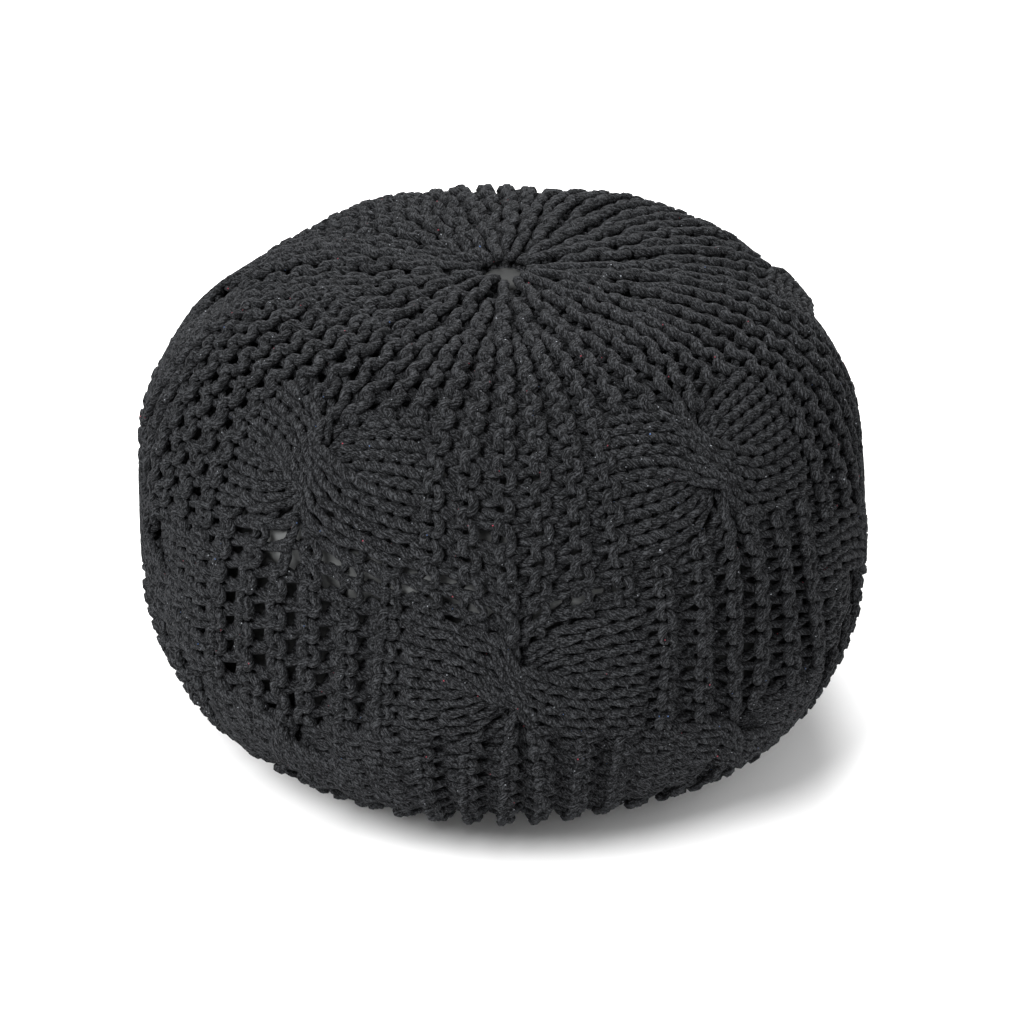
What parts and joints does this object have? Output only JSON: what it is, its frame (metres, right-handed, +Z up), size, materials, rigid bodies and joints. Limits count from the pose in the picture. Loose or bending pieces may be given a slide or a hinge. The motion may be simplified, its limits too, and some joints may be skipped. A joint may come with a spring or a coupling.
{
  "type": "pouf",
  "caption": "Round squashed knitted pouf with ribbed sides, three staggered bands of cables, a top gathered to a small hole, and a filled bag inside.",
  "frame": {"origin": "centre of the overall box at floor level, on the pouf's own axis", "axes": "+Z up along the pouf's axis through the top gather, -Y towards the picture's camera, +X to the right of the picture"},
  "size_m": [0.5071, 0.5107, 0.3363],
  "materials": {
    "charcoal_cotton": "thick plied cotton cord, charcoal with fine light flecks, matt",
    "grey_lining": "smooth dark grey lining cloth, matt"
  },
  "bodies": {
    "root": {"knitted_cover": "charcoal_cotton", "inner_bag": "grey_lining"}
  },
  "joints": []
}
